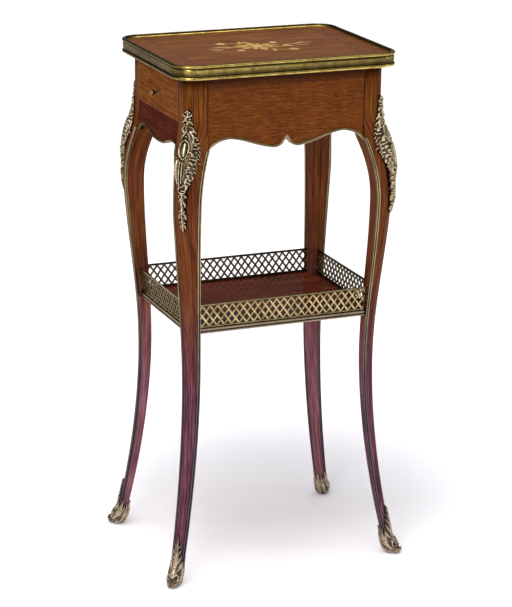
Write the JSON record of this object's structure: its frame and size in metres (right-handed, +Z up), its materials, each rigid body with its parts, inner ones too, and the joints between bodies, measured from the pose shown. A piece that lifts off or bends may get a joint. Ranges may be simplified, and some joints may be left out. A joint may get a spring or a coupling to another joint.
{
  "type": "occasional table",
  "caption": "Small rectangular occasional table on cabriole legs, with a brass-rimmed inlaid top, an end drawer, a lower shelf with a pierced trellis gallery, and cast brass knee mounts and shoes.",
  "frame": {"origin": "the middle of the floor under the table, midway between the four shoes", "axes": "+Z up; X along the long side, with the drawer in the -X end; Y across the short side, with the long face that the picture shows at -Y"},
  "size_m": [0.3736, 0.2806, 0.76],
  "materials": {
    "field_wood": "french polished red-brown veneer with fine straight grain",
    "border_wood": "french polished border veneer with the grain across the field's",
    "drawer_wood": "polished golden veneer",
    "rail_wood": "polished dark maroon veneer",
    "leg_wood": "polished plum-brown veneer running down the leg",
    "carcass_wood": "plain unpolished oak",
    "inlay_wood": "pale inlaid veneers with engraved lines",
    "dark_string": "dark inlaid line",
    "gilt_brass": "old gilt brass, worn bright on its ridges and dark in its hollows",
    "cast_brass": "chased cast brass, worn bright on its ridges and dark in its hollows",
    "screw_steel": "dull steel wood screw"
  },
  "bodies": {
    "table": {"top_core": "carcass_wood", "field_veneer": "field_wood", "border_veneers": "border_wood", "top_stringing": "dark_string", "flower_spray": "inlay_wood", "rim_left_half": "gilt_brass", "rim_right_half": "gilt_brass", "rim_pins": "gilt_brass", "top_screws": "screw_steel", "leg_front_left": "leg_wood", "leg_front_right": "leg_wood", "leg_back_left": "leg_wood", "leg_back_right": "leg_wood", "frieze_front": "field_wood", "frieze_back": "field_wood", "frieze_right": "field_wood", "drawer_rail": "rail_wood", "panel_stringing": "dark_string", "runner_front": "carcass_wood", "runner_back": "carcass_wood", "guide_front": "carcass_wood", "guide_back": "carcass_wood", "kicker_front": "carcass_wood", "kicker_back": "carcass_wood", "drawer_stops": "carcass_wood", "apron_trim_front": "gilt_brass", "apron_trim_back": "gilt_brass", "apron_trim_left": "gilt_brass", "apron_trim_right": "gilt_brass", "edge_trim_front_left": "gilt_brass", "edge_trim_front_right": "gilt_brass", "edge_trim_back_left": "gilt_brass", "edge_trim_back_right": "gilt_brass", "chute_front_left": "cast_brass", "chute_front_right": "cast_brass", "chute_back_left": "cast_brass", "chute_back_right": "cast_brass", "sabot_front_left": "cast_brass", "sabot_front_right": "cast_brass", "sabot_back_left": "cast_brass", "sabot_back_right": "cast_brass", "mount_pins": "gilt_brass", "shelf_board": "carcass_wood", "shelf_veneer": "field_wood", "shelf_dowels": "carcass_wood", "shelf_trim": "gilt_brass", "gallery_front": "gilt_brass", "gallery_back": "gilt_brass", "gallery_left": "gilt_brass", "gallery_right": "gilt_brass"},
    "drawer": {"drawer_front": "drawer_wood", "drawer_side_front": "carcass_wood", "drawer_side_back": "carcass_wood", "drawer_back": "carcass_wood", "drawer_bottom": "carcass_wood", "drawer_knob": "gilt_brass", "knob_nut": "gilt_brass"}
  },
  "joints": [
    {"name": "drawer_slide", "type": "slide", "parent": "table", "child": "drawer", "axis": [-1, 0, 0], "range_m": [0, 0.18]}
  ]
}
